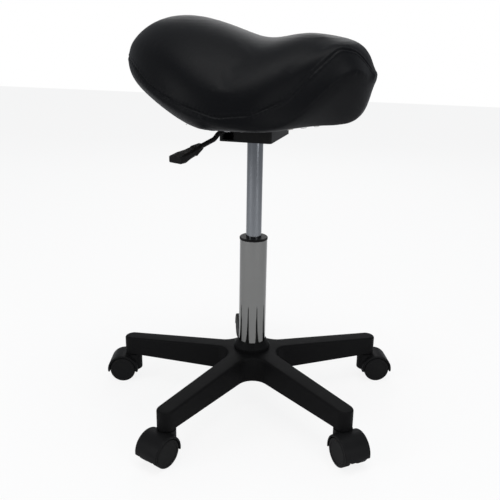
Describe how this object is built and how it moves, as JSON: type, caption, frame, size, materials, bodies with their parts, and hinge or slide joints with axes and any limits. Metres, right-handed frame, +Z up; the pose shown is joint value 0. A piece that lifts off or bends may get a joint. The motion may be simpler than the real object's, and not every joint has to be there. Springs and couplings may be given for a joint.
{
  "type": "saddle stool",
  "caption": "Wheeled saddle stool: padded saddle on a gas lift with release lever, star base and hooded casters.",
  "frame": {"origin": "on the floor, under the axis of the gas lift column", "axes": "+Z up along the column; +X the way the rider faces, one base arm points straight back; +Y to the rider's left"},
  "size_m": [0.5611, 0.5851, 0.7049],
  "materials": {
    "cover": "smooth semi-gloss synthetic leather",
    "foam": "moulded polyurethane foam",
    "plywood": "bare plywood",
    "dust_cloth": "non-woven cloth",
    "zinc_steel": "zinc plated",
    "painted_steel": "satin black powder coat",
    "lever_plastic": "satin black",
    "tube_chrome": "mirror chrome",
    "column_chrome": "satin dark chrome",
    "polished_steel": "ground steel",
    "brass": "turned",
    "rubber": "matt",
    "acetal": "satin black acetal",
    "base_nylon": "fine-textured black nylon",
    "caster_nylon": "satin black nylon",
    "wheel_nylon": "satin black nylon"
  },
  "bodies": {
    "base": {"star_base": "base_nylon", "outer_tube": "tube_chrome", "guide_bush": "acetal", "lower_bearing_washer": "polished_steel", "caster_stems": "polished_steel", "grip_rings": "polished_steel"},
    "bearing_cage": {"ball_cage": "acetal", "bearing_balls": "polished_steel"},
    "lift_rod": {"piston_rod": "polished_steel", "piston": "brass", "rod_bumper": "rubber", "upper_bearing_washer": "polished_steel", "retaining_clip": "zinc_steel"},
    "seat": {"seat_cover": "cover", "seat_foam": "foam", "seat_board": "plywood", "dust_cover": "dust_cloth", "cover_staples": "zinc_steel", "tee_nuts": "zinc_steel", "pan_bolts": "zinc_steel", "lock_washers": "zinc_steel", "mounting_pan": "painted_steel", "taper_socket": "painted_steel", "lever_bracket": "painted_steel", "lever_pin": "polished_steel", "column_tube": "column_chrome", "valve_body": "brass", "inner_cylinder": "polished_steel", "rod_guide": "acetal"},
    "lever": {"lever_rod": "painted_steel", "lever_paddle": "lever_plastic"},
    "button": {"release_button": "polished_steel"},
    "caster_1": {"caster_1_hood": "caster_nylon", "caster_1_axle": "polished_steel"},
    "caster_1_wheel_left": {"caster_1_wheel_left": "wheel_nylon"},
    "caster_1_wheel_right": {"caster_1_wheel_right": "wheel_nylon"},
    "caster_2": {"caster_2_hood": "caster_nylon", "caster_2_axle": "polished_steel"},
    "caster_2_wheel_left": {"caster_2_wheel_left": "wheel_nylon"},
    "caster_2_wheel_right": {"caster_2_wheel_right": "wheel_nylon"},
    "caster_3": {"caster_3_hood": "caster_nylon", "caster_3_axle": "polished_steel"},
    "caster_3_wheel_left": {"caster_3_wheel_left": "wheel_nylon"},
    "caster_3_wheel_right": {"caster_3_wheel_right": "wheel_nylon"},
    "caster_4": {"caster_4_hood": "caster_nylon", "caster_4_axle": "polished_steel"},
    "caster_4_wheel_left": {"caster_4_wheel_left": "wheel_nylon"},
    "caster_4_wheel_right": {"caster_4_wheel_right": "wheel_nylon"},
    "caster_5": {"caster_5_hood": "caster_nylon", "caster_5_axle": "polished_steel"},
    "caster_5_wheel_left": {"caster_5_wheel_left": "wheel_nylon"},
    "caster_5_wheel_right": {"caster_5_wheel_right": "wheel_nylon"}
  },
  "joints": [
    {"name": "seat_swivel", "type": "hinge", "parent": "base", "child": "lift_rod", "pos_m": [0, 0, 0.07], "axis": [0, 0, 1], "continuous": true},
    {"name": "cage_turn", "type": "hinge", "parent": "base", "child": "bearing_cage", "pos_m": [0, 0, 0.0665], "axis": [0, 0, 1], "continuous": true},
    {"name": "seat_lift", "type": "slide", "parent": "lift_rod", "child": "seat", "axis": [0, 0, 1], "range_m": [-0.14, 0]},
    {"name": "lever_lift", "type": "hinge", "parent": "seat", "child": "lever", "pos_m": [-0.01952, -0.04385, 0.53], "axis": [-0.9135, 0.4067, 0], "range_deg": [0, 4.5], "stiffness_Nm_per_rad": 4, "springref_deg": -8.59},
    {"name": "button_press", "type": "slide", "parent": "seat", "child": "button", "axis": [0, 0, -1], "range_m": [0, 0.004], "stiffness_N_per_m": 2000, "springref_m": -0.004},
    {"name": "caster_1_swivel", "type": "hinge", "parent": "base", "child": "caster_1", "pos_m": [0.20225, 0.14695, 0.055], "axis": [0, 0, 1], "continuous": true},
    {"name": "caster_1_left_spin", "type": "hinge", "parent": "caster_1", "child": "caster_1_wheel_left", "pos_m": [0.22093, 0.15411, 0.025], "axis": [-0.3584, 0.9336, 0], "continuous": true},
    {"name": "caster_1_right_spin", "type": "hinge", "parent": "caster_1", "child": "caster_1_wheel_right", "pos_m": [0.22093, 0.15411, 0.025], "axis": [-0.3584, 0.9336, 0], "continuous": true},
    {"name": "caster_2_swivel", "type": "hinge", "parent": "base", "child": "caster_2", "pos_m": [-0.07725, 0.23776, 0.055], "axis": [0, 0, 1], "continuous": true},
    {"name": "caster_2_left_spin", "type": "hinge", "parent": "caster_2", "child": "caster_2_wheel_left", "pos_m": [-0.08539, 0.25604, 0.025], "axis": [-0.9135, -0.4067, 0], "continuous": true},
    {"name": "caster_2_right_spin", "type": "hinge", "parent": "caster_2", "child": "caster_2_wheel_right", "pos_m": [-0.08539, 0.25604, 0.025], "axis": [-0.9135, -0.4067, 0], "continuous": true},
    {"name": "caster_3_swivel", "type": "hinge", "parent": "base", "child": "caster_3", "pos_m": [-0.25, 0, 0.055], "axis": [0, 0, 1], "continuous": true},
    {"name": "caster_3_left_spin", "type": "hinge", "parent": "caster_3", "child": "caster_3_wheel_left", "pos_m": [-0.26922, -0.00551, 0.025], "axis": [0.2756, -0.9613, 0], "continuous": true},
    {"name": "caster_3_right_spin", "type": "hinge", "parent": "caster_3", "child": "caster_3_wheel_right", "pos_m": [-0.26922, -0.00551, 0.025], "axis": [0.2756, -0.9613, 0], "continuous": true},
    {"name": "caster_4_swivel", "type": "hinge", "parent": "base", "child": "caster_4", "pos_m": [-0.07725, -0.23776, 0.055], "axis": [0, 0, 1], "continuous": true},
    {"name": "caster_4_left_spin", "type": "hinge", "parent": "caster_4", "child": "caster_4_wheel_left", "pos_m": [-0.08442, -0.25644, 0.025], "axis": [0.9336, -0.3584, 0], "continuous": true},
    {"name": "caster_4_right_spin", "type": "hinge", "parent": "caster_4", "child": "caster_4_wheel_right", "pos_m": [-0.08442, -0.25644, 0.025], "axis": [0.9336, -0.3584, 0], "continuous": true},
    {"name": "caster_5_swivel", "type": "hinge", "parent": "base", "child": "caster_5", "pos_m": [0.20225, -0.14695, 0.055], "axis": [0, 0, 1], "continuous": true},
    {"name": "caster_5_left_spin", "type": "hinge", "parent": "caster_5", "child": "caster_5_wheel_left", "pos_m": [0.21538, -0.16204, 0.025], "axis": [0.7547, 0.6561, 0], "continuous": true},
    {"name": "caster_5_right_spin", "type": "hinge", "parent": "caster_5", "child": "caster_5_wheel_right", "pos_m": [0.21538, -0.16204, 0.025], "axis": [0.7547, 0.6561, 0], "continuous": true}
  ],
  "couplings": [
    {"joint": "cage_turn", "follows": "seat_swivel", "ratio": 0.5},
    {"joint": "button_press", "follows": "lever_lift", "m_per_rad": 0.048}
  ]
}
